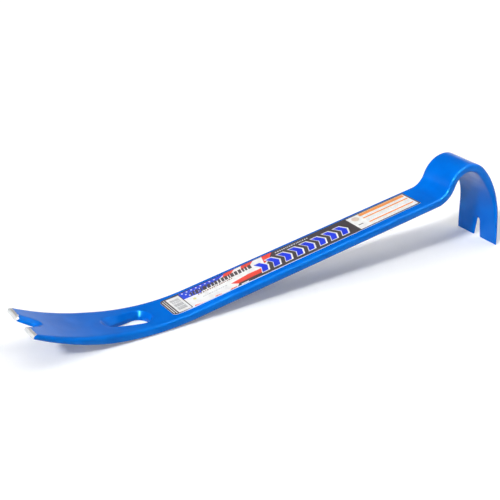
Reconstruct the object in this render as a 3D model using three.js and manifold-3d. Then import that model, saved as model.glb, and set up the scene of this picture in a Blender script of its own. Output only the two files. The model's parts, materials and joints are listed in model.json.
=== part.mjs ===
// A flat pry bar of the gooseneck pattern, lying on a level surface as it comes to rest.
// It is one steel forging, with a printed label on the top face of its straight shank.
//
// Units are millimetres, +Z is up. +X runs along the bar, from the curved claw to the gooseneck hook.
// The origin is on the surface the bar lies on, below the middle of its bounding box.
//
// The bar is a flat strip that follows a spine: a curve in the XZ plane, made of straight stretches and
// arcs. A place on the bar is given by three numbers: s along the spine from the claw's tip, y across
// the bar, and n out of the strip towards its top face, which is the outer face of the hook.
import * as THREE from "three";
import { mergeVertices } from "three/addons/utils/BufferGeometryUtils.js";
import Module from "manifold-3d";

const wasm = await Module();
wasm.setup();

// ---- The strip ----
const SHANK_WIDTH = 44;
const SHANK_THICKNESS = 9.1;
const EDGE_RADIUS = 2.9; // the long edges are rolled round

// ---- The spine, from the claw's tip to the hook's tip ----
const CLAW_TIP_LENGTH = 12.2; // straight
const CLAW_RADIUS = 265;
const CLAW_BEND = 35.1; // degrees that the claw turns up from the shank
const SHANK_LENGTH = 291; // straight
const RISER_RADIUS = 24;
const RISER_BEND = 61.7; // degrees up, out of the shank
const HUMP_RADIUS = 23.7;
const HUMP_BEND = 118.4; // degrees down, over the top of the hook
const LEG_RADIUS = 89;
const LEG_BEND = 38.8; // degrees more, down the hook's leg
const LEG_TIP_LENGTH = 33.8; // straight

// ---- The two blades: each flares in width and thins towards its tip ----
const CLAW_WIDTH = 58.4;
const CLAW_FLARE_LENGTH = 192;
const CLAW_TAPER_LENGTH = 76;
const CLAW_TIP_THICKNESS = 4.8; // where the ground bevel starts
const CLAW_BEVEL_LENGTH = 2.6; // ground on the top face only
const CLAW_EDGE_THICKNESS = 3.9;
const LEG_WIDTH = 60.2;
const LEG_FLARE_LENGTH = 127.5;
const LEG_TAPER_LENGTH = 80;
const LEG_TIP_THICKNESS = 1.6;

// ---- The nail slots: V notches with a round root, each with a bevel down from one face ----
const CLAW_SLOT = { mouth: 18.6, depth: 15.5, root: 3.8, bevelWidth: 4.5, rim: 2.8 };
const LEG_SLOT = { mouth: 9.2, depth: 21.5, root: 1.9, bevelWidth: 3.1, rim: 1.1 };

// ---- The nail hole: a teardrop that narrows towards the claw, at the bottom of a dish in the top face ----
const HOLE_PLACE = 118.4; // s of the middle of its round end
const HOLE_RADIUS = 10.6;
const HOLE_NARROW_RADIUS = 3.6;
const HOLE_SPACING = 26; // from the middle of its round end to the middle of its narrow end
const DISH_RIM = 2.3; // the dish is this much wider than the hole, all round its round end
const DISH_NARROW_RADIUS = 9.7;
const DISH_SPACING = 29;
const DISH_DEPTH = 5.4;

// ---- The label ----
const LABEL_PLACE = 148.5; // s of its end nearer the claw
const LABEL_LENGTH = 301.4;
const LABEL_WIDTH = 30.4;
const LABEL_THICKNESS = 0.2;
const LABEL_OFFSET = 0.1; // how far its middle line starts from the shank's
const LABEL_SKEW = 0.44; // degrees: it was stuck on slightly askew
const LABEL_START_CORNER = 4;
const LABEL_END_CORNER = 1;
const LABEL_GAP = 0.3; // left open between the film and the steel

// ---- How finely curves are divided ----
const CORNER_STEPS = 4; // along each rolled edge of a section
const CHORD_ERROR = 0.03; // how far a chord between two sections may cut inside a bend
const BLADE_STEP = 10; // the longest stretch between sections where the width changes
const SHORTEST_STEP = 0.5; // sections closer together than this are one
const LABEL_STEP = 8; // between sections of the label
const ARC_STEPS = 10; // along each arc of a cut
const CUT_REACH = 8; // how far a cutter stands out past the steel

const radians = THREE.MathUtils.degToRad;
const degrees = THREE.MathUtils.radToDeg;

// ---------------------------------------------------------------- the spine

const SPINE = [
  { length: CLAW_TIP_LENGTH, bend: 0 },
  { length: CLAW_RADIUS * radians(CLAW_BEND), bend: radians(CLAW_BEND) },
  { length: SHANK_LENGTH, bend: 0 },
  { length: RISER_RADIUS * radians(RISER_BEND), bend: radians(RISER_BEND) },
  { length: HUMP_RADIUS * radians(HUMP_BEND), bend: -radians(HUMP_BEND) },
  { length: LEG_RADIUS * radians(LEG_BEND), bend: -radians(LEG_BEND) },
  { length: LEG_TIP_LENGTH, bend: 0 },
];
const SPINE_LENGTH = SPINE.reduce((sum, stretch) => sum + stretch.length, 0);
const SHANK_START = SPINE[0].length + SPINE[1].length;
const SHANK_END = SHANK_START + SHANK_LENGTH;

// The spine's point at s, and the angle that the spine makes with the shank there.
// Past either tip it runs on straight.
function spineAt(s) {
  let x = 0;
  let z = 0;
  let angle = -radians(CLAW_BEND);
  let left = s;
  for (const { length, bend } of SPINE) {
    const run = Math.min(left, length);
    const half = (bend * run) / length / 2;
    const chord = half === 0 ? run : (run * Math.sin(half)) / half;
    x += chord * Math.cos(angle + half);
    z += chord * Math.sin(angle + half);
    angle += 2 * half;
    left -= run;
  }
  return { x: x + left * Math.cos(angle), z: z + left * Math.sin(angle), angle };
}

// A place on the bar as a point, with the shank level.
function place(s, y, n) {
  const { x, z, angle } = spineAt(s);
  return new THREE.Vector3(x - n * Math.sin(angle), y, z + n * Math.cos(angle));
}

// ---------------------------------------------------------------- the strip's size along the spine

// 1 at a blade's tip, falling smoothly to 0 at the given length away from it.
function nearTip(distance, length) {
  return 1 - THREE.MathUtils.smoothstep(distance, 0, length);
}

function widthAt(s) {
  const claw = (CLAW_WIDTH - SHANK_WIDTH) * nearTip(s, CLAW_FLARE_LENGTH);
  const leg = (LEG_WIDTH - SHANK_WIDTH) * nearTip(SPINE_LENGTH - s, LEG_FLARE_LENGTH);
  return SHANK_WIDTH + claw + leg;
}

function thicknessAt(s) {
  const fromClaw = Math.min(s / CLAW_TAPER_LENGTH, 1);
  const fromLeg = Math.min((SPINE_LENGTH - s) / LEG_TAPER_LENGTH, 1);
  const claw = THREE.MathUtils.lerp(CLAW_TIP_THICKNESS, SHANK_THICKNESS, fromClaw);
  const leg = THREE.MathUtils.lerp(LEG_TIP_THICKNESS, SHANK_THICKNESS, fromLeg);
  return Math.min(claw, leg);
}

// The height of the top face over the spine: half the thickness, less what is ground off at the claw's tip.
function topAt(s) {
  const ground = Math.max(1 - s / CLAW_BEVEL_LENGTH, 0) * (CLAW_TIP_THICKNESS - CLAW_EDGE_THICKNESS);
  return thicknessAt(s) / 2 - ground;
}

function bottomAt(s) {
  return -thicknessAt(s) / 2;
}

// ---------------------------------------------------------------- solids from rings of points

// Joins rings of equally many points into one closed geometry, with a flat fan over each end.
// Each ring runs anticlockwise as seen from the next one.
function skin(rings) {
  const count = rings[0].length;
  const positions = rings.flat().flatMap((point) => point.toArray());
  const index = [];
  for (let start = 0; start + count < rings.length * count; start += count) {
    for (let i = 0; i < count; i++) {
      const a = start + i;
      const b = start + ((i + 1) % count);
      index.push(a, b, b + count, a, b + count, a + count);
    }
  }
  const last = (rings.length - 1) * count;
  for (let i = 1; i + 1 < count; i++) {
    index.push(0, i + 1, i);
    index.push(last, last + i, last + i + 1);
  }
  const geometry = new THREE.BufferGeometry();
  geometry.setAttribute("position", new THREE.Float32BufferAttribute(positions, 3));
  geometry.setIndex(index);
  return geometry;
}

function toSolid(geometry) {
  const merged = mergeVertices(geometry, 1e-4);
  return new wasm.Manifold(
    new wasm.Mesh({
      numProp: 3,
      vertProperties: new Float32Array(merged.attributes.position.array),
      triVerts: new Uint32Array(merged.index.array),
    }),
  );
}

function toGeometry(solid) {
  const { numProp, numVert, triVerts, vertProperties } = solid.getMesh();
  const positions = new Float32Array(numVert * 3);
  for (let i = 0; i < numVert; i++) {
    positions.set(vertProperties.subarray(i * numProp, i * numProp + 3), i * 3);
  }
  const geometry = new THREE.BufferGeometry();
  geometry.setAttribute("position", new THREE.BufferAttribute(positions, 3));
  geometry.setIndex(new THREE.BufferAttribute(triVerts, 1));
  return geometry;
}

// ---------------------------------------------------------------- the strip before it is cut

// Where the sections stand: along every bend and blade, and none within the plain shank.
function sectionPlaces() {
  const places = [CLAW_BEVEL_LENGTH, CLAW_TAPER_LENGTH, SPINE_LENGTH - LEG_TAPER_LENGTH];
  let start = 0;
  for (const { length, bend } of SPINE) {
    const turn = Math.abs(bend);
    const steps = turn === 0 ? 1 : Math.ceil(turn / (2 * Math.acos(1 - (CHORD_ERROR * turn) / length)));
    for (let i = 0; i <= steps; i++) places.push(start + (length * i) / steps);
    start += length;
  }
  const clawSteps = Math.ceil(CLAW_FLARE_LENGTH / BLADE_STEP);
  for (let i = 1; i <= clawSteps; i++) places.push((CLAW_FLARE_LENGTH * i) / clawSteps);
  const legSteps = Math.ceil(LEG_FLARE_LENGTH / BLADE_STEP);
  for (let i = 1; i <= legSteps; i++) places.push(SPINE_LENGTH - (LEG_FLARE_LENGTH * i) / legSteps);
  places.sort((a, b) => a - b);
  return places.filter((s, i) => i === 0 || s - places[i - 1] > SHORTEST_STEP);
}

// One section: a rectangle with round corners, across the strip at s.
function section(s) {
  const top = topAt(s);
  const bottom = bottomAt(s);
  const radius = Math.min(EDGE_RADIUS, (top - bottom) * 0.45);
  const side = widthAt(s) / 2 - radius;
  const corners = [
    { y: side, n: top - radius, from: 0 },
    { y: -side, n: top - radius, from: 90 },
    { y: -side, n: bottom + radius, from: 180 },
    { y: side, n: bottom + radius, from: 270 },
  ];
  const ring = [];
  for (const { y, n, from } of corners) {
    for (let i = 0; i <= CORNER_STEPS; i++) {
      const angle = radians(from + (90 * i) / CORNER_STEPS);
      ring.push(place(s, y + radius * Math.cos(angle), n + radius * Math.sin(angle)));
    }
  }
  return ring;
}

// ---------------------------------------------------------------- the cuts

// Outlines are drawn in a plane: x along the spine, y across the bar. Angles are in degrees.
function arc(x, radius, from, to) {
  const points = [];
  for (let i = 0; i <= ARC_STEPS; i++) {
    const angle = radians(from + ((to - from) * i) / ARC_STEPS);
    points.push(new THREE.Vector2(x + radius * Math.cos(angle), radius * Math.sin(angle)));
  }
  return points;
}

// A nail slot seen from the face, grown by extra on every side. Its mouth is at x = 0.
function slotOutline({ mouth, depth, root }, extra) {
  const centre = depth - root;
  const lean = Math.atan2(mouth / 2, centre) - Math.asin(root / Math.hypot(mouth / 2, centre));
  const bottom = arc(centre, root + extra, degrees(lean) - 90, 90 - degrees(lean));
  const { x, y } = bottom[0];
  const outside = y - (x + CUT_REACH) * Math.tan(lean);
  return [new THREE.Vector2(-CUT_REACH, outside), ...bottom, new THREE.Vector2(-CUT_REACH, -outside)];
}

// The outline round two circles on the middle line, the small one nearer the claw.
function teardropOutline(x, radius, narrowRadius, spacing) {
  const lean = degrees(Math.acos((radius - narrowRadius) / spacing));
  const round = arc(x, radius, lean - 180, 180 - lean);
  const narrow = arc(x - spacing, narrowRadius, 180 - lean, 180 + lean);
  return [...round, ...narrow];
}

// The cutter for a nail slot. distance is counted in from the blade's tip, and the bevel runs down from
// the face at height face(distance) to a thin rim of steel over the other face.
function slotCutter(slot, face, otherFace, placeFromTip) {
  const bevel = (x) => (face(x) - otherFace(x) - slot.rim) / slot.bevelWidth;
  const levels = [
    { extra: 0, height: () => -CUT_REACH },
    { extra: 0, height: (x) => otherFace(x) + slot.rim },
    { extra: slot.bevelWidth, height: (x) => face(x) },
    { extra: 2 * slot.bevelWidth, height: (x) => face(x) + bevel(x) * slot.bevelWidth },
  ];
  const rings = levels.map(({ extra, height }) =>
    slotOutline(slot, extra).map(({ x, y }) => placeFromTip(x, y, height(Math.max(x, 0)))),
  );
  return toSolid(skin(rings));
}

function holeCutter() {
  const through = teardropOutline(HOLE_PLACE, HOLE_RADIUS, HOLE_NARROW_RADIUS, HOLE_SPACING);
  const dish = teardropOutline(HOLE_PLACE, HOLE_RADIUS + DISH_RIM, DISH_NARROW_RADIUS, DISH_SPACING);
  const levels = [
    { outline: through, height: () => bottomAt(HOLE_PLACE) - CUT_REACH },
    { outline: through, height: () => topAt(HOLE_PLACE) - DISH_DEPTH },
    { outline: dish, height: (s) => topAt(s) },
    { outline: dish, height: (s) => topAt(s) + CUT_REACH },
  ];
  const rings = levels.map(({ outline, height }) => outline.map(({ x, y }) => place(x, y, height(x))));
  return toSolid(skin(rings));
}

// ---------------------------------------------------------------- the pieces

function barGeometry() {
  const strip = toSolid(skin(sectionPlaces().map(section)));
  const fromClaw = (distance, y, n) => place(distance, y, n);
  const clawSlot = slotCutter(CLAW_SLOT, topAt, bottomAt, fromClaw);
  // The hook's slot is bevelled on the inner face, the strip's bottom face, so it is cut upside down.
  const fromHook = (distance, y, n) => place(SPINE_LENGTH - distance, y, -n);
  const inner = (distance) => -bottomAt(SPINE_LENGTH - distance);
  const outer = (distance) => -topAt(SPINE_LENGTH - distance);
  const legSlot = slotCutter(LEG_SLOT, inner, outer, fromHook);
  return toGeometry(strip.subtract(clawSlot).subtract(legSlot).subtract(holeCutter()));
}

// How far a label's edge draws in, at this distance from an end whose corners have this radius.
function cornerInset(distance, radius) {
  const along = Math.max(radius - distance, 0);
  return radius - Math.sqrt(radius * radius - along * along);
}

// The label's section at this distance from its start. The film follows the steel's top face.
function labelSection(distance) {
  const startInset = cornerInset(distance, LABEL_START_CORNER);
  const endInset = cornerInset(LABEL_LENGTH - distance, LABEL_END_CORNER);
  const half = LABEL_WIDTH / 2 - startInset - endInset;
  const middle = LABEL_OFFSET + distance * Math.tan(radians(LABEL_SKEW));
  const s = LABEL_PLACE + distance;
  const low = topAt(s) + LABEL_GAP;
  const high = low + LABEL_THICKNESS;
  return [
    place(s, middle + half, low),
    place(s, middle + half, high),
    place(s, middle - half, high),
    place(s, middle - half, low),
  ];
}

function labelGeometry() {
  const distances = [];
  for (let i = 0; i < ARC_STEPS; i++) {
    const share = 1 - Math.cos((radians(90) * i) / ARC_STEPS);
    distances.push(LABEL_START_CORNER * share, LABEL_LENGTH - LABEL_END_CORNER * share);
  }
  const between = LABEL_LENGTH - LABEL_START_CORNER - LABEL_END_CORNER;
  const steps = Math.ceil(between / LABEL_STEP);
  for (let i = 0; i <= steps; i++) distances.push(LABEL_START_CORNER + (between * i) / steps);
  distances.sort((a, b) => a - b);
  return skin(distances.map(labelSection));
}

function makeBar() {
  const material = new THREE.MeshStandardMaterial({ color: 0x0373e4, roughness: 0.25, metalness: 0 });
  const bar = new THREE.Mesh(barGeometry(), material);
  bar.name = "bar";
  return bar;
}

function makeLabel() {
  const material = new THREE.MeshStandardMaterial({ color: 0xf1efe9, roughness: 0.35, metalness: 0 });
  const label = new THREE.Mesh(labelGeometry(), material);
  label.name = "label";
  return label;
}

// ---------------------------------------------------------------- how the bar lies

// The slope of the line that the bar rests on, with the shank level: under the claw's belly and the hook's
// tip. It is found by turns: the lowest point at each end for this slope, then the slope through them.
function restingSlope(geometry) {
  const { array, count } = geometry.attributes.position;
  const middle = (spineAt(SHANK_START).x + spineAt(SHANK_END).x) / 2;
  const points = Array.from({ length: count }, (_, i) => ({ x: array[3 * i], z: array[3 * i + 2] }));
  let slope = 0;
  const lower = (a, b) => (b.z - slope * b.x < a.z - slope * a.x ? b : a);
  for (let round = 0; round < 8; round++) {
    const belly = points.filter((point) => point.x < middle).reduce(lower);
    const tip = points.filter((point) => point.x > middle).reduce(lower);
    slope = (tip.z - belly.z) / (tip.x - belly.x);
  }
  return slope;
}

const bar = makeBar();
const lying = new THREE.Group();
lying.add(bar, makeLabel());
lying.rotation.y = Math.atan(restingSlope(bar.geometry));

const pryBar = new THREE.Group();
pryBar.add(lying);
const box = new THREE.Box3().setFromObject(pryBar, true);
lying.position.set(-(box.min.x + box.max.x) / 2, -(box.min.y + box.max.y) / 2, -box.min.z);

export default pryBar;
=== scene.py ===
import json
import math
import random

import bmesh
import bpy
from mathutils import Matrix, Vector
from mathutils.geometry import delaunay_2d_cdt


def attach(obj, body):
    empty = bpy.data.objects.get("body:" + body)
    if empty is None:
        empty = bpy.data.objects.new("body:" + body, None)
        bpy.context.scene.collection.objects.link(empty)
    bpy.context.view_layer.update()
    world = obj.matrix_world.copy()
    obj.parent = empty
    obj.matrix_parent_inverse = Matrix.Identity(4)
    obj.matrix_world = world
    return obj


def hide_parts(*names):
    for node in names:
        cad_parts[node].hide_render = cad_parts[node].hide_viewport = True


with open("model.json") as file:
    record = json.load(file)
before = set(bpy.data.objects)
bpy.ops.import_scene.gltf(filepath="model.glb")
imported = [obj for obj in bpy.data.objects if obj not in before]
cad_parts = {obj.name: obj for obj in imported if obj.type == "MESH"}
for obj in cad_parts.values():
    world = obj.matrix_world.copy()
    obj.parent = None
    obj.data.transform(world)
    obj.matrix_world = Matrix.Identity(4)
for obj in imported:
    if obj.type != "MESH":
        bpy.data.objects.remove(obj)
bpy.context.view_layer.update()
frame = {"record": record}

MM = 0.001

# ---- The strip ----
SHANK_WIDTH = 44
SHANK_THICKNESS = 9.1
EDGE_RADIUS = 2.9

# ---- The spine, from the claw's tip to the hook's tip: lengths, radii and bends in degrees ----
CLAW_TIP_LENGTH = 12.2
CLAW_RADIUS = 265
CLAW_BEND = 35.1
SHANK_LENGTH = 291
RISER_RADIUS = 24
RISER_BEND = 61.7
HUMP_RADIUS = 23.7
HUMP_BEND = 118.4
LEG_RADIUS = 89
LEG_BEND = 38.8
LEG_TIP_LENGTH = 33.8

# ---- The blades ----
CLAW_WIDTH = 58.4
CLAW_FLARE_LENGTH = 192
CLAW_TAPER_LENGTH = 76
CLAW_TIP_THICKNESS = 4.8
CLAW_BEVEL_LENGTH = 2.6
CLAW_EDGE_THICKNESS = 3.9
LEG_WIDTH = 60.2
LEG_FLARE_LENGTH = 127.5
LEG_TAPER_LENGTH = 80
LEG_TIP_THICKNESS = 1.6

# ---- The nail slots and the nail hole ----
CLAW_SLOT = {"mouth": 18.6, "depth": 15.5, "root": 3.8, "bevel": 4.5, "rim": 2.8}
LEG_SLOT = {"mouth": 9.2, "depth": 21.5, "root": 1.9, "bevel": 3.1, "rim": 1.1}
HOLE = {"radius": 10.6, "narrow": 3.6, "spacing": 26}
DISH = {"radius": 12.9, "narrow": 9.7, "spacing": 29}
HOLE_PLACE = 118.4
DISH_DEPTH = 5.4

# ---- The label ----
LABEL_PLACE = 148.5
LABEL_LENGTH = 301.4
LABEL_WIDTH = 30.4
LABEL_OFFSET = 0.1
LABEL_SKEW = 0.44
LABEL_START_CORNER = 4
LABEL_END_CORNER = 1
FILM_LOW = 0.02  # heights of the film's two faces over the enamel
FILM_HIGH = 0.22

# ---- How the bar's surface is made ----
CUT_ROUND = 0.35  # the edges of every cut are this round
CUT_ROUND_SHARE = 0.3  # but their radius is at most this share of the steel's thickness
ROLLED_SHARE = 0.45  # and a rolled edge's radius at most this one
TIP_ROWS = CUT_ROUND * 0.8  # the rows along the claw's tip reach this far in
BLEND = 0.5  # a ground bevel meets the face over about this height
BARE_UNDER = 0.4  # how far the bare steel reaches in from the tip on the underside
ROUND_ANGLES = (0, 10, 22, 36, 52, 70, 90)  # where the rows along a rounded edge stand
FLAT_INSET = 1.2  # one more row stands on the flat face, this many edge radii in from the side
STATION_STEPS = (4, 44, 30, 22, 42, 30, 9)  # sections along each stretch of the spine
BEVEL_END_STATIONS = (-0.6, 0, 0.6)  # sections about the end of the claw's ground bevel
SAME_PLACE = 0.004  # sections closer together than this are one
ROOT_STEPS = 28  # along the root of a nail slot
WALL_STEPS = 9  # along each of its walls
BEVEL_MIDDLE = 0.55  # a row down the slot's bevel, as a share of the bevel's width
BEVEL_ROWS = (-0.9, -0.45, -0.15, 0.15, 0.45, 0.9)  # rows about the edge where the bevel meets the face
HOLE_ROUND_STEPS = 40  # along the teardrop's round end
HOLE_NARROW_STEPS = 18  # along its narrow end
HOLE_SIDE_STEPS = 12  # along each of its sides
DISH_SHARES = (0.15, 0.35, 0.55, 0.75, 0.88, 0.95)  # rows from the hole out to the dish's edge
DISH_ROWS = (0, 0.15, 0.4, 0.9)  # rows from the dish's edge out
COLUMN_STEP = 5.5  # between columns of points across the flat faces
CLEARANCE = 1.4  # from a column's points to the rows along an edge
CUT_CLEARANCE = CLEARANCE + BEVEL_ROWS[-1]  # and to the edge of a slot's bevel or of the dish
PLAN_EPSILON = 1e-4
QUAD_FACE_ANGLE = 8  # degrees: two triangles that bend less than this are joined into a quad,
QUAD_SHAPE_ANGLE = 40  # if its shape is also within this many degrees

# ---- How the label's surface is made ----
OUTLINE_STEPS = 8  # along each corner of the label
BENT_STEPS = 14  # along the part of the label that follows the claw's bend
BENT_INSET = 0.01  # the lines across that part stop this far inside the label's edge
PRINT_EPSILON = 1e-5

# ---- The studio ----
FLOOR_HALF = 6.0  # metres
FLOOR_DROP = 0.0002  # metres: the paper lies just under the bar

# Each lamp's azimuth and elevation, its strength, and how wide it looks, in degrees. Azimuth 0 is behind
# the bar, along +Y, and 90 is past its claw.
LAMPS = {
    "key": (112, 40, 2.3, 9),
    "overhead": (30, 80, 0.6, 60),
    "near_side": (170, 25, 0.15, 40),
    "edge": (118, 14, 0.7, 3),
    "fill": (265, 52, 0.85, 50),
}

# A strip light bent round the near side, which draws a thin line of light along the bar's rolled edge.
# It is made of small lamps: azimuth, elevation and strength of each.
GLINT_STRIP = [
    (220, 50, 0.5),
    (209, 52, 0.5),
    (198, 52, 0.7),
    (188, 51, 2.4),
    (180, 50, 2.4),
    (173, 47, 2.4),
    (166, 43, 2.4),
    (159, 38, 2.4),
    (153, 32, 2.4),
    (148, 26, 2.4),
    (144, 20, 2.4),
]
GLINT_SOFTNESS = 9  # degrees

# The world's strength along the horizon and overhead, and the height (as a sine) at which it gets there.
HORIZON_STRENGTH = 1.0
OVERHEAD_STRENGTH = 0.06
OVERHEAD_STARTS = 0.5

# The camera stands off from a point near the middle of the bar. Its angles are in degrees.
AIM = Vector((-24.35, 16.3, 41.2)) * MM
CAMERA_DISTANCE = 1083 * MM
CAMERA_AZIMUTH = -33.88
CAMERA_ELEVATION = 24.74
CAMERA_ROLL = 2.04
CAMERA_LENS = 79.3


# ------------------------------------------------------------------ the spine

SPINE = [
    (CLAW_TIP_LENGTH, 0),
    (CLAW_RADIUS * math.radians(CLAW_BEND), math.radians(CLAW_BEND)),
    (SHANK_LENGTH, 0),
    (RISER_RADIUS * math.radians(RISER_BEND), math.radians(RISER_BEND)),
    (HUMP_RADIUS * math.radians(HUMP_BEND), -math.radians(HUMP_BEND)),
    (LEG_RADIUS * math.radians(LEG_BEND), -math.radians(LEG_BEND)),
    (LEG_TIP_LENGTH, 0),
]
SPINE_LENGTH = sum(length for length, _ in SPINE)
SHANK_START = SPINE[0][0] + SPINE[1][0]
SHANK_MIDDLE = SHANK_START + SHANK_LENGTH / 2


def spine_at(s):
    """The spine's point at s and its slope there, with the shank level."""
    x = z = 0.0
    angle = -math.radians(CLAW_BEND)
    left = s
    for length, bend in SPINE:
        run = min(left, length)
        half = bend * run / length / 2
        chord = run * math.sin(half) / half if half else run
        x += chord * math.cos(angle + half)
        z += chord * math.sin(angle + half)
        angle += 2 * half
        left -= run
    return x, z, angle


def on_level_bar(s, y, n):
    x, z, angle = spine_at(s)
    return Vector((x - n * math.sin(angle), y, z + n * math.cos(angle)))


def lying_transform():
    """Lays the bar where the frame has it, by the record's mount in the middle of the shank's underside."""
    mounts = frame["record"]["mounts"]
    mount = next(m for m in mounts if m["name"] == "shank_underside")
    tilt = Matrix.Rotation(math.atan2(mount["axis"][0], mount["axis"][2]) - math.pi, 4, "Y")
    underside = tilt @ (on_level_bar(SHANK_MIDDLE, 0, -SHANK_THICKNESS / 2) * MM)
    return Matrix.Translation(Vector(mount["pos_m"]) - underside) @ tilt @ Matrix.Scale(MM, 4)


LYING = lying_transform()


def to_scene(s, y, n):
    return LYING @ on_level_bar(s, y, n)


# ------------------------------------------------------------------ the strip's size along the spine


def near_tip(distance, length):
    share = min(max(distance / length, 0), 1)
    return 1 - share * share * (3 - 2 * share)


def width_at(s):
    claw = (CLAW_WIDTH - SHANK_WIDTH) * near_tip(s, CLAW_FLARE_LENGTH)
    leg = (LEG_WIDTH - SHANK_WIDTH) * near_tip(SPINE_LENGTH - s, LEG_FLARE_LENGTH)
    return SHANK_WIDTH + claw + leg


def thickness_at(s):
    claw = min(s / CLAW_TAPER_LENGTH, 1)
    leg = min((SPINE_LENGTH - s) / LEG_TAPER_LENGTH, 1)
    return min(
        CLAW_TIP_THICKNESS + (SHANK_THICKNESS - CLAW_TIP_THICKNESS) * claw,
        LEG_TIP_THICKNESS + (SHANK_THICKNESS - LEG_TIP_THICKNESS) * leg,
    )


def top_at(s):
    ground = max(1 - s / CLAW_BEVEL_LENGTH, 0) * (CLAW_TIP_THICKNESS - CLAW_EDGE_THICKNESS)
    return thickness_at(s) / 2 - ground


def bottom_at(s):
    return -thickness_at(s) / 2


def edge_radius_at(s):
    return min(EDGE_RADIUS, (top_at(s) - bottom_at(s)) * ROLLED_SHARE)


# ------------------------------------------------------------------ distances from the cuts, in the plan


def slot_lean(slot):
    """The lean of a nail slot's walls towards its root, and the distance in of the root's middle."""
    centre = slot["depth"] - slot["root"]
    half = slot["mouth"] / 2
    return math.atan2(half, centre) - math.asin(slot["root"] / math.hypot(half, centre)), centre


def slot_distance(slot, x, y):
    """From a slot's outline to a point outside it, with x counted in from the blade's tip."""
    lean, centre = slot_lean(slot)
    x -= centre
    y = abs(y)
    if x * math.cos(lean) > y * math.sin(lean):
        return math.hypot(x, y) - slot["root"]
    return x * math.sin(lean) + y * math.cos(lean) - slot["root"]


def teardrop_distance(shape, s, y):
    """From a teardrop's outline to a point: below 0 inside it."""
    lean = math.asin((shape["radius"] - shape["narrow"]) / shape["spacing"])
    x = HOLE_PLACE - s
    y = abs(y)
    along = x * math.cos(lean) - y * math.sin(lean)
    if along < 0:
        return math.hypot(x, y) - shape["radius"]
    if along > shape["spacing"] * math.cos(lean):
        return math.hypot(x - shape["spacing"], y) - shape["narrow"]
    return x * math.sin(lean) + y * math.cos(lean) - shape["radius"]


def cut_distance(s, y):
    """From the nearest cut or tip: below 0 where the bar has no steel."""
    return min(
        s,
        SPINE_LENGTH - s,
        slot_distance(CLAW_SLOT, s, y),
        slot_distance(LEG_SLOT, SPINE_LENGTH - s, y),
        teardrop_distance(HOLE, s, y),
    )


# ------------------------------------------------------------------ heights of the two faces


def soft_min(a, b):
    """The lower of two heights, with the crease between them rounded off."""
    near = max(BLEND - abs(a - b), 0)
    return min(a, b) - near * near / BLEND / 4


def rounding(distance, radius):
    """How far a round edge has dropped at this distance in from it."""
    left = min(max(radius - distance, 0), radius)
    return radius - math.sqrt(radius * radius - left * left)


def edge_drop(s, y):
    """The drop of either face at the rolled edges and at the edges of the cuts."""
    cut_round = min(CUT_ROUND, (top_at(s) - bottom_at(s)) * CUT_ROUND_SHARE)
    rolled = rounding(width_at(s) / 2 - abs(y), edge_radius_at(s))
    return max(rolled, rounding(cut_distance(s, y), cut_round))


def slot_bevel(slot, x, y, face, other):
    """The height of a slot's bevel, from a rim of steel over the other face up to this one."""
    depth = max(face - other - slot["rim"], 0)
    return face - depth * (1 - slot_distance(slot, x, y) / slot["bevel"])


def top_height(s, y):
    face = top_at(s)
    height = soft_min(face, slot_bevel(CLAW_SLOT, s, y, face, bottom_at(s)))
    from_hole = teardrop_distance(HOLE, s, y)
    into_dish = teardrop_distance(DISH, s, y)
    dish = face + DISH_DEPTH * into_dish / (from_hole - into_dish)
    return soft_min(height, dish) - edge_drop(s, y)


def ground_length(s, y):
    """How far in the claw's bevel reaches: less down the rolled edges, which the grinding only touches."""
    drop = edge_drop(max(s, CUT_ROUND), y) / (CLAW_TIP_THICKNESS - CLAW_EDGE_THICKNESS)
    return CLAW_BEVEL_LENGTH * max(1 - drop, 0)


def bottom_height(s, y):
    face = -bottom_at(s)
    bevel = slot_bevel(LEG_SLOT, SPINE_LENGTH - s, y, face, -top_at(s))
    return edge_drop(s, y) - soft_min(face, bevel)


# ------------------------------------------------------------------ the plan, with rows along every edge


class Plan:
    """Lines and loose points in the plan of the strip, which are joined up into triangles."""

    def __init__(self):
        self.points = []
        self.edges = []

    def line(self, points, closed=False):
        first = len(self.points)
        self.points += points
        self.edges += [(i, i + 1) for i in range(first, len(self.points) - 1)]
        if closed:
            self.edges.append((len(self.points) - 1, first))

    def triangles(self):
        """The plan's points and triangles, with every line kept as edges."""
        points = [Vector(point) for point in self.points]
        found = delaunay_2d_cdt(points, self.edges, [], 0, PLAN_EPSILON, False)
        return found[0], found[2]


def arc(x, radius, start, end, steps):
    """Points round a circle whose middle is on the middle line, between two angles in degrees."""
    points = []
    for i in range(steps + 1):
        angle = math.radians(start + (end - start) * i / steps)
        points.append((x + radius * math.cos(angle), radius * math.sin(angle)))
    return points


def rows(radius):
    """Distances in from an edge at which the rows of a rounding stand."""
    return [radius * (1 - math.cos(math.radians(angle))) for angle in ROUND_ANGLES]


def stations():
    """Where the strip's sections stand along the spine."""
    places = {SPINE_LENGTH - row for row in rows(CUT_ROUND)} | set(rows(TIP_ROWS))
    start = 0
    for (length, _), steps in zip(SPINE, STATION_STEPS):
        places |= {start + length * k / steps for k in range(steps)}
        start += length
    places |= {CLAW_BEVEL_LENGTH + distance for distance in BEVEL_END_STATIONS}
    places |= {CLAW_TAPER_LENGTH, SPINE_LENGTH - LEG_TAPER_LENGTH, SPINE_LENGTH}
    kept = []
    for s in sorted(places):
        if not kept or s - kept[-1] > SAME_PLACE:
            kept.append(s)
    return kept


def edge_lines(plan, places):
    """Rows along both rolled edges, and one on the flat face beside each."""
    for side in (-1, 1):
        for angle in ROUND_ANGLES + (None,):
            line = []
            for s in places:
                radius = edge_radius_at(s)
                inset = radius * (FLAT_INSET if angle is None else 1 - math.cos(math.radians(angle)))
                line.append((s, side * (width_at(s) / 2 - inset)))
            plan.line(line)


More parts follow.
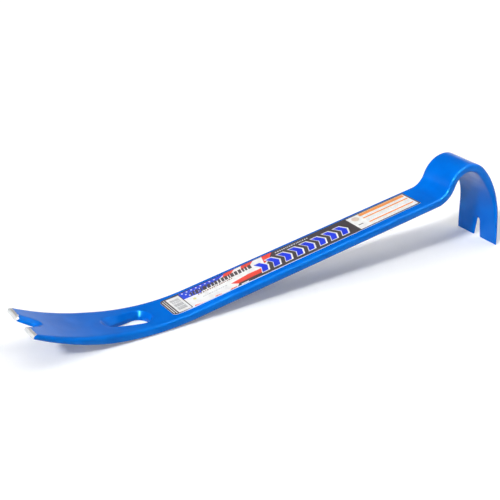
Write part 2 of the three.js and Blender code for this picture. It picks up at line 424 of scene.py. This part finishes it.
def tip_lines(plan):
    """Rows across the bar along both tips."""
    for distance in rows(TIP_ROWS):
        half = width_at(distance) / 2
        plan.line([(distance, -half), (distance, half)])
    for distance in rows(CUT_ROUND):
        s = SPINE_LENGTH - distance
        half = width_at(s) / 2
        plan.line([(s, -half), (s, half)])


def slot_lines(plan, slot, from_tip):
    """Rows round a slot: along its rounded rim, down its bevel and where the bevel meets the face."""
    lean, centre = slot_lean(slot)
    bevel = slot["bevel"]
    extras = rows(CUT_ROUND) + [BEVEL_MIDDLE * bevel] + [bevel + row for row in BEVEL_ROWS]
    for extra in extras:
        radius = slot["root"] + extra
        round_end = arc(centre, radius, math.degrees(lean) - 90, 90 - math.degrees(lean), ROOT_STEPS)
        x, y = round_end[0]
        along = [x * i / WALL_STEPS for i in range(WALL_STEPS)]
        wall = [(distance, y - (x - distance) * math.tan(lean)) for distance in along]
        outline = wall + round_end + [(x, -y) for x, y in reversed(wall)]
        plan.line([(from_tip(x), y) for x, y in outline])


def between(a, b, part, whole=1):
    """The point at part / whole of the way from a to b."""
    return a[0] + (b[0] - a[0]) * part / whole, a[1] + (b[1] - a[1]) * part / whole


def teardrop(shape, extra):
    """A teardrop's outline grown by extra, from the same steps for every size."""
    radius = shape["radius"] + extra
    narrow = shape["narrow"] + extra
    lean = math.degrees(math.acos((radius - narrow) / shape["spacing"]))
    round_end = arc(HOLE_PLACE, radius, lean - 180, 180 - lean, HOLE_ROUND_STEPS)
    narrow_end = arc(HOLE_PLACE - shape["spacing"], narrow, 180 - lean, 180 + lean, HOLE_NARROW_STEPS)
    steps = range(1, HOLE_SIDE_STEPS)
    one_side = [between(round_end[-1], narrow_end[0], k, HOLE_SIDE_STEPS) for k in steps]
    other_side = [between(narrow_end[-1], round_end[0], k, HOLE_SIDE_STEPS) for k in steps]
    return round_end + one_side + narrow_end + other_side


def hole_lines(plan):
    """Rows round the nail hole: along its rounded edge, down the dish and just outside the dish."""
    for extra in rows(CUT_ROUND):
        plan.line(teardrop(HOLE, extra), closed=True)
    inner = teardrop(HOLE, CUT_ROUND)
    outer = teardrop(DISH, 0)
    for share in DISH_SHARES:
        plan.line([between(a, b, share) for a, b in zip(inner, outer)], closed=True)
    for extra in DISH_ROWS:
        plan.line(teardrop(DISH, extra), closed=True)


def columns(plan, places):
    """Loose points over the flat faces, clear of the rows."""
    for s in places:
        half = width_at(s) / 2 - edge_radius_at(s) * FLAT_INSET - CLEARANCE
        count = 2 * round(half / COLUMN_STEP)
        for i in range(count + 1):
            y = half * (2 * i / count - 1)
            from_claw = slot_distance(CLAW_SLOT, s, y) - CLAW_SLOT["bevel"]
            from_leg = slot_distance(LEG_SLOT, SPINE_LENGTH - s, y) - LEG_SLOT["bevel"]
            if min(from_claw, from_leg, teardrop_distance(DISH, s, y)) > CUT_CLEARANCE:
                plan.points.append((s, y))


# ------------------------------------------------------------------ the bar


def bar_mesh():
    """The bar as one closed mesh: the plan's triangles on both faces, joined along every edge."""
    plan = Plan()
    places = stations()
    edge_lines(plan, places)
    tip_lines(plan)
    slot_lines(plan, CLAW_SLOT, lambda x: x)
    slot_lines(plan, LEG_SLOT, lambda x: SPINE_LENGTH - x)
    hole_lines(plan)
    columns(plan, places)
    points, triangles = plan.triangles()

    bm = bmesh.new()
    bare = bm.verts.layers.float.new("bare")
    tops, bottoms = [], []
    for s, y in points:
        y = math.copysign(min(abs(y), width_at(s) / 2), y)
        tops.append(bm.verts.new(to_scene(s, y, top_height(s, y))))
        bottoms.append(bm.verts.new(to_scene(s, y, bottom_height(s, y))))
        tops[-1][bare] = ground_length(s, y) - s
        bottoms[-1][bare] = BARE_UNDER - s
    used = {}
    for corners in triangles:
        s = sum(points[i][0] for i in corners) / 3
        y = sum(points[i][1] for i in corners) / 3
        if cut_distance(s, y) < 0 or abs(y) > width_at(s) / 2:
            continue
        bm.faces.new([tops[i] for i in corners])
        bm.faces.new([bottoms[i] for i in reversed(corners)])
        for a, b in zip(corners, corners[1:] + corners[:1]):
            used[a, b] = True
    for a, b in used:
        if (b, a) not in used:
            bm.faces.new([tops[b], tops[a], bottoms[a], bottoms[b]])
    loose = [vert for vert in bm.verts if not vert.link_faces]
    bmesh.ops.delete(bm, geom=loose, context="VERTS")
    bmesh.ops.join_triangles(
        bm,
        faces=bm.faces[:],
        angle_face_threshold=math.radians(QUAD_FACE_ANGLE),
        angle_shape_threshold=math.radians(QUAD_SHAPE_ANGLE),
    )
    return bm


def to_object(bm, name, materials):
    for face in bm.faces:
        face.smooth = True
    mesh = bpy.data.meshes.new(name)
    bm.to_mesh(mesh)
    bm.free()
    for material in materials:
        mesh.materials.append(material)
    piece = bpy.data.objects.new(name, mesh)
    bpy.context.scene.collection.objects.link(piece)
    return piece


def make_bar():
    bar = to_object(bar_mesh(), "forged_bar", [enamel_material()])
    normals = bar.modifiers.new("Weighted normals", "WEIGHTED_NORMAL")
    normals.keep_sharp = False
    return bar


# ------------------------------------------------------------------ the label's print

# Polygons on the label, in order of printing: u along it from its start, v across it, upwards in print.


def box(u0, v0, u1, v1):
    return [(u0, v0), (u1, v0), (u1, v1), (u0, v1)]


def slanted(u, v, width, height, slant):
    """An upright bar whose top leans forward."""
    return [(u, v), (u + width, v), (u + width + slant, v + height), (u + slant, v + height)]


def disc(u, v, radius, steps=20):
    angles = [2 * math.pi * i / steps for i in range(steps)]
    return [(u + radius * math.cos(angle), v + radius * math.sin(angle)) for angle in angles]


def chevron(u, v, width, height, point):
    """An arrow head that points along the label."""
    middle = v + height / 2
    return [
        (u, v),
        (u + width, v),
        (u + width + point, middle),
        (u + width, v + height),
        (u, v + height),
        (u + point, middle),
    ]


def label_outline():
    """The label's own outline, with its rounded corners."""
    half = LABEL_WIDTH / 2
    outline = []
    for u, v, radius, start in (
        (LABEL_LENGTH - LABEL_END_CORNER, LABEL_END_CORNER - half, LABEL_END_CORNER, 270),
        (LABEL_LENGTH - LABEL_END_CORNER, half - LABEL_END_CORNER, LABEL_END_CORNER, 0),
        (LABEL_START_CORNER, half - LABEL_START_CORNER, LABEL_START_CORNER, 90),
        (LABEL_START_CORNER, LABEL_START_CORNER - half, LABEL_START_CORNER, 180),
    ):
        for i in range(OUTLINE_STEPS + 1):
            angle = math.radians(start + 90 * i / OUTLINE_STEPS)
            outline.append((u + radius * math.cos(angle), v + radius * math.sin(angle)))
    return outline


def bar_code():
    """Made-up bars that run along the label, so that the code reads across it."""
    rng = random.Random(7)
    bars = []
    v = -9.6
    while v < 9.6:
        width = rng.choice((0.35, 0.35, 0.7, 1.05))
        bars.append(("ink_grey", box(8.6, v, 18.4, v + width)))
        v += width + rng.choice((0.4, 0.4, 0.75, 1.1))
    return bars


def dashes(u, end, v, height, seed, ink, slant=0.0, climb=0.0, longest=3.2):
    """A broken line, where the real label has small print."""
    rng = random.Random(seed)
    shapes = []
    start = u
    while u < end:
        width = rng.uniform(0.8, longest)
        low = v + (u - start) * climb
        shapes.append((ink, slanted(u, low, width, height, slant)))
        u += width + rng.uniform(0.7, 1.3)
    return shapes


def start_panel():
    """The dark end of the label with two light strips, and the bar code's box."""
    return [
        ("film_white", box(1.7, -12.2, 2.5, 12.2)),
        ("film_white", box(4.0, -13.6, 4.7, 13.6)),
        ("film_white", box(6.4, -13.4, 20.6, 13.6)),
    ] + bar_code()


def picture_panel():
    """The pale part: a blue field with white dots, red stripes, and two lines of dark slanted marks."""
    shapes = [
        ("film_white", [(21.6, -15.19), (72.5, -15.19), (104, -10.4), (131, 15.19), (21.6, 15.19)]),
        ("ink_blue", [(21.6, 3.6), (40, 2.6), (47, 6.4), (62, 9.2), (76, 15.19), (21.6, 15.19)]),
    ]
    for i in range(9):
        for row in range(3):
            u = 25 + i * 5.2 + row * 2.4
            v = 13.2 - row * 3.5
            if v > 4.6 + max(u - 40, 0) * 0.33:
                shapes.append(("film_white", disc(u, v, 0.95, 12)))
    shapes += [
        ("ink_red", [(22.6, -15.19), (36.5, -15.19), (37.5, -14.0), (30, -13.4), (24.4, -12.4)]),
        ("ink_red", [(45, -15.19), (52.5, -15.19), (54, -13.2), (47.5, -12.6)]),
        ("ink_red", [(61, -15.19), (70.5, -15.19), (72.5, -13.0), (66, -12.4)]),
        ("ink_red", [(69.5, -5.0), (75.5, -10.2), (104, -9.8), (112, -2.4), (92, -2.0)]),
        ("ink_red", [(68, 9.0), (78, 9.4), (86, 15.19), (74, 15.19)]),
        ("ink_red", [(90, 8.6), (101, 9.6), (108, 15.19), (94, 15.19)]),
        ("ink_red", [(114, 2.8), (121, 5.6), (131, 15.19), (118.5, 15.19)]),
        ("ink_black", [(71.0, -15.19), (110, -15.19), (112, -8.4), (104, -9.0), (76.2, -9.6)]),
        ("film_white", slanted(76.6, -13.9, 8.5, 1.5, 0.5)),
        ("ink_yellow", disc(30.2, -2.4, 1.7)),
    ]
    shapes += dashes(30, 98, 3.7, 6.6, 3, "ink_black", slant=1.8, climb=0.015, longest=4.2)
    shapes += dashes(36, 76, 0.6, 1.9, 5, "ink_brown", slant=0.5, climb=0.03, longest=1.9)
    shapes += dashes(38, 66, -5.4, 0.7, 9, "ink_grey", climb=0.02, longest=2.6)
    return shapes


def title_panel():
    """The black part, with a row of outlined blue chevrons and a thin pale line over it."""
    shapes = [("ink_black", [(104, -15.19), (222, -15.19), (222, 15.19), (131, 15.19), (112, -4)])]
    shapes += dashes(133, 172, 11.2, 1.5, 11, "film_white", slant=0.3, longest=2.2)
    outline = 0.95
    for i in range(8):
        u = 103.5 + i * 14.1
        shapes.append(("film_white", chevron(u - outline, -10.6, 8.6 + outline, 18.8, 4.6)))
        shapes.append(("ink_royal", chevron(u + 0.3, -9.6, 6.9, 16.8, 4.2)))
    return shapes


def notes_panel():
    """The white panel: an orange heading, two orange rules, pale lines between them and a beige roundel."""
    shapes = [
        ("film_white", box(223.3, -13.3, 299.4, 13.4)),
        ("ink_orange", box(238.6, 8.2, 298.2, 12.9)),
        ("ink_orange", box(238.6, 2.0, 298.2, 4.1)),
        ("ink_orange", box(238.6, -8.3, 297.4, -6.2)),
        ("ink_beige", disc(231.3, 7.0, 4.2, 28)),
        ("ink_black", box(226.4, -5.7, 232.2, -4.3)),
    ]
    for i, v in enumerate((6.8, 5.3, -0.1, -1.9, -3.7, -10.4, -11.9)):
        shapes += dashes(239, 297, v, 0.55, 20 + i, "ink_pale", longest=4.5)
    return shapes


INKS = {
    "ink_black": (0.060, 0.048, 0.054),
    "film_white": (0.90, 0.90, 0.89),
    "ink_grey": (0.36, 0.36, 0.38),
    "ink_pale": (0.60, 0.68, 0.72),
    "ink_blue": (0.010, 0.060, 0.72),
    "ink_royal": (0.004, 0.036, 0.80),
    "ink_red": (0.90, 0.070, 0.045),
    "ink_orange": (0.92, 0.31, 0.05),
    "ink_yellow": (0.80, 0.76, 0.30),
    "ink_beige": (0.76, 0.62, 0.50),
    "ink_brown": (0.30, 0.14, 0.09),
}


def on_label(u, v, height):
    """A point of the label, height over the steel's top face."""
    skew = math.radians(LABEL_SKEW)
    s = LABEL_PLACE + u
    return to_scene(s, LABEL_OFFSET + u * math.tan(skew) + v, top_at(s) + height)


def label_mesh(inks):
    """A closed film whose top face is divided along the edges of everything that is printed on it."""
    shapes = [("ink_black", label_outline())]
    shapes += start_panel() + picture_panel() + title_panel() + notes_panel()
    points, edges, faces = [], [], []
    for _, outline in shapes:
        faces.append(list(range(len(points), len(points) + len(outline))))
        points += [Vector(point) for point in outline]
    half = LABEL_WIDTH / 2
    bent = SHANK_START - LABEL_PLACE
    for i in range(1, BENT_STEPS + 1):
        u = bent * i / BENT_STEPS
        edges.append((len(points), len(points) + 1))
        inset = LABEL_START_CORNER if u < LABEL_START_CORNER else BENT_INSET
        points += [Vector((u, inset - half)), Vector((u, half - inset))]
    found = delaunay_2d_cdt(points, edges, faces, 1, PRINT_EPSILON, True)
    places, triangles, sources = found[0], found[2], found[5]

    bm = bmesh.new()
    tops = [bm.verts.new(on_label(u, v, FILM_HIGH)) for u, v in places]
    lows = [bm.verts.new(on_label(u, v, FILM_LOW)) for u, v in places]
    film = inks.index("film_white")
    used = set()
    for corners, source in zip(triangles, sources):
        if not source:
            continue
        bm.faces.new([tops[i] for i in corners]).material_index = inks.index(shapes[max(source)][0])
        bm.faces.new([lows[i] for i in reversed(corners)]).material_index = film
        used |= set(zip(corners, corners[1:] + corners[:1]))
    for a, b in used:
        if (b, a) not in used:
            bm.faces.new([tops[b], tops[a], lows[a], lows[b]]).material_index = film
    loose = [vert for vert in bm.verts if not vert.link_faces]
    bmesh.ops.delete(bm, geom=loose, context="VERTS")
    return bm


def make_label():
    inks = list(INKS)
    label = to_object(label_mesh(inks), "printed_label", [ink_material(name) for name in inks])
    for face in label.data.polygons:
        face.use_smooth = False
    return label


# ------------------------------------------------------------------ materials


class Shader:
    """A node material that is put together by short calls."""

    def __init__(self, name):
        self.material = bpy.data.materials.new(name)
        self.material.use_nodes = True
        self.nodes = self.material.node_tree.nodes
        self.surface = self.nodes["Principled BSDF"]
        self.where = self.nodes.new("ShaderNodeTexCoord").outputs["Object"]

    def link(self, source, socket):
        self.material.node_tree.links.new(source, socket)

    def noise(self, scale, detail=2.0, stretch=(1, 1, 1)):
        """Noise with features of about 1/scale metres, drawn out along axes where stretch is below 1."""
        mapping = self.nodes.new("ShaderNodeMapping")
        mapping.inputs["Scale"].default_value = stretch
        self.link(self.where, mapping.inputs["Vector"])
        noise = self.nodes.new("ShaderNodeTexNoise")
        noise.inputs["Scale"].default_value = scale
        noise.inputs["Detail"].default_value = detail
        self.link(mapping.outputs["Vector"], noise.inputs["Vector"])
        return noise.outputs["Fac"]

    def ramp(self, value, low, high, start=0.0, end=1.0):
        """value between low and high, carried over to between start and end."""
        node = self.nodes.new("ShaderNodeMapRange")
        node.interpolation_type = "SMOOTHSTEP"
        for socket, number in zip(("From Min", "From Max", "To Min", "To Max"), (low, high, start, end)):
            node.inputs[socket].default_value = number
        self.link(value, node.inputs["Value"])
        return node.outputs["Result"]

    def math(self, operation, a, b):
        node = self.nodes.new("ShaderNodeMath")
        node.operation = operation
        for socket, value in zip(node.inputs, (a, b)):
            if isinstance(value, (int, float)):
                socket.default_value = value
            else:
                self.link(value, socket)
        return node.outputs["Value"]

    def mix(self, factor, a, b):
        """A colour between a and b."""
        node = self.nodes.new("ShaderNodeMix")
        node.data_type = "RGBA"
        self.link(factor, node.inputs["Factor"])
        for socket, value in zip((node.inputs[6], node.inputs[7]), (a, b)):
            if isinstance(value, tuple):
                socket.default_value = (*value, 1)
            else:
                self.link(value, socket)
        return node.outputs[2]

    def attribute(self, name):
        node = self.nodes.new("ShaderNodeAttribute")
        node.attribute_name = name
        return node.outputs["Fac"]

    def bump(self, height, distance):
        node = self.nodes.new("ShaderNodeBump")
        node.inputs["Distance"].default_value = distance
        self.link(height, node.inputs["Height"])
        self.link(node.outputs["Normal"], self.surface.inputs["Normal"])


def enamel_material():
    """Gloss blue enamel over a forged surface, ending raggedly where the claw's edges are ground bare."""
    shader = Shader("blue_enamel")
    edge = shader.math("ADD", shader.attribute("bare"), shader.ramp(shader.noise(450), 0.3, 0.7, -0.4, 0.4))
    bare = shader.ramp(edge, -0.15, 0.25)
    blotches = shader.ramp(shader.noise(28, 3), 0.3, 0.7)
    paint = shader.mix(blotches, (0.0, 0.130, 0.630), (0.0, 0.160, 0.715))
    scratches = shader.noise(900, 3, (1, 0.12, 1))
    steel = shader.mix(shader.ramp(scratches, 0.3, 0.7), (0.62, 0.59, 0.57), (0.80, 0.76, 0.73))
    shader.link(shader.mix(bare, paint, steel), shader.surface.inputs["Base Color"])
    shader.link(shader.math("MULTIPLY", bare, 0.5), shader.surface.inputs["Metallic"])
    gloss = shader.ramp(shader.noise(60, 4), 0.3, 0.7, 0.09, 0.15)
    rough = shader.math("ADD", gloss, shader.math("MULTIPLY", bare, 0.2))
    shader.link(rough, shader.surface.inputs["Roughness"])
    waves = shader.noise(110, 2)
    peel = shader.math("MULTIPLY", shader.noise(700, 1), 0.08)
    shader.bump(shader.math("ADD", waves, peel), 0.00022)
    shader.surface.inputs["IOR"].default_value = 1.45
    shader.surface.inputs["Specular Tint"].default_value = (0.07, 0.6, 1.0, 1)
    return shader.material


def ink_material(name):
    """One printing ink under the label's satin film."""
    shader = Shader(name)
    colour = INKS[name]
    darker = tuple(0.88 * channel for channel in colour)
    shader.link(
        shader.mix(shader.ramp(shader.noise(160, 4), 0.3, 0.7), darker, colour),
        shader.surface.inputs["Base Color"],
    )
    shader.link(shader.ramp(shader.noise(90, 3), 0.3, 0.7, 0.3, 0.4), shader.surface.inputs["Roughness"])
    shader.bump(shader.noise(140, 3), 0.0001)
    return shader.material


# ------------------------------------------------------------------ the studio


def make_floor():
    bm = bmesh.new()
    bmesh.ops.create_grid(bm, x_segments=8, y_segments=8, size=FLOOR_HALF)
    floor = to_object(bm, "studio_floor", [floor_material()])
    floor.location.z = -FLOOR_DROP


def floor_material():
    """Pale paper that looks white, but throws back little light on the bar."""
    shader = Shader("studio_floor_paper")
    path = shader.nodes.new("ShaderNodeLightPath").outputs
    seen = shader.math("MAXIMUM", path["Is Camera Ray"], path["Is Glossy Ray"])
    seen = shader.math("MAXIMUM", seen, path["Is Transmission Ray"])
    paper = shader.mix(shader.noise(3, 2), (0.93, 0.93, 0.93), (0.95, 0.95, 0.95))
    shader.link(shader.mix(seen, (0.35, 0.35, 0.35), paper), shader.surface.inputs["Base Color"])
    shader.surface.inputs["Emission Color"].default_value = (1, 1, 1, 1)
    shader.link(shader.math("MULTIPLY", seen, 0.12), shader.surface.inputs["Emission Strength"])
    shader.surface.inputs["Roughness"].default_value = 1.0
    shader.surface.inputs["Specular IOR Level"].default_value = 0
    return shader.material


def soft_sun(name, azimuth, elevation, strength, softness):
    """A lamp far off. LAMPS says what the numbers mean."""
    data = bpy.data.lights.new(name, "SUN")
    data.energy = strength
    data.angle = math.radians(softness)
    lamp = bpy.data.objects.new(name, data)
    lamp.rotation_euler = (math.radians(90 - elevation), 0, math.radians(azimuth + 180))
    bpy.context.scene.collection.objects.link(lamp)
    return lamp


def make_world():
    """A studio that is palest along the horizon and dark above it, apart from its lamps."""
    world = bpy.data.worlds.new("studio_world")
    world.use_nodes = True
    nodes, links = world.node_tree.nodes, world.node_tree.links
    place = nodes.new("ShaderNodeTexCoord")
    split = nodes.new("ShaderNodeSeparateXYZ")
    links.new(place.outputs["Generated"], split.inputs["Vector"])
    fade = nodes.new("ShaderNodeMapRange")
    fade.interpolation_type = "SMOOTHSTEP"
    fade.inputs["From Min"].default_value = 0.0
    fade.inputs["From Max"].default_value = OVERHEAD_STARTS
    fade.inputs["To Min"].default_value = HORIZON_STRENGTH
    fade.inputs["To Max"].default_value = OVERHEAD_STRENGTH
    links.new(split.outputs["Z"], fade.inputs["Value"])
    links.new(fade.outputs["Result"], nodes["Background"].inputs["Strength"])
    nodes["Background"].inputs["Color"].default_value = (1, 1, 1, 1)
    bpy.context.scene.world = world


def make_lights():
    for name, settings in LAMPS.items():
        soft_sun(name, *settings)
    for i, settings in enumerate(GLINT_STRIP):
        lamp = soft_sun(f"glint_{i}", *settings, GLINT_SOFTNESS)
        lamp.visible_diffuse = False  # kept out of diffuse light, so only reflections show it
    make_world()


def make_camera():
    azimuth = math.radians(CAMERA_AZIMUTH)
    elevation = math.radians(CAMERA_ELEVATION)
    level = Vector((-math.sin(azimuth), math.cos(azimuth), 0)) * math.cos(elevation)
    forward = level - Vector((0, 0, math.sin(elevation)))
    data = bpy.data.cameras.new("camera")
    data.lens = CAMERA_LENS
    camera = bpy.data.objects.new("camera", data)
    turn = forward.to_track_quat("-Z", "Y").to_matrix() @ Matrix.Rotation(math.radians(CAMERA_ROLL), 3, "Z")
    camera.matrix_world = Matrix.Translation(AIM - forward * CAMERA_DISTANCE) @ turn.to_4x4()
    bpy.context.scene.collection.objects.link(camera)
    bpy.context.scene.camera = camera


make_camera()
make_lights()
make_floor()

bar = make_bar()
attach(bar, "root")
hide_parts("bar")

label = make_label()
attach(label, "root")
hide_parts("label")

bpy.context.scene.view_settings.view_transform = "Standard"
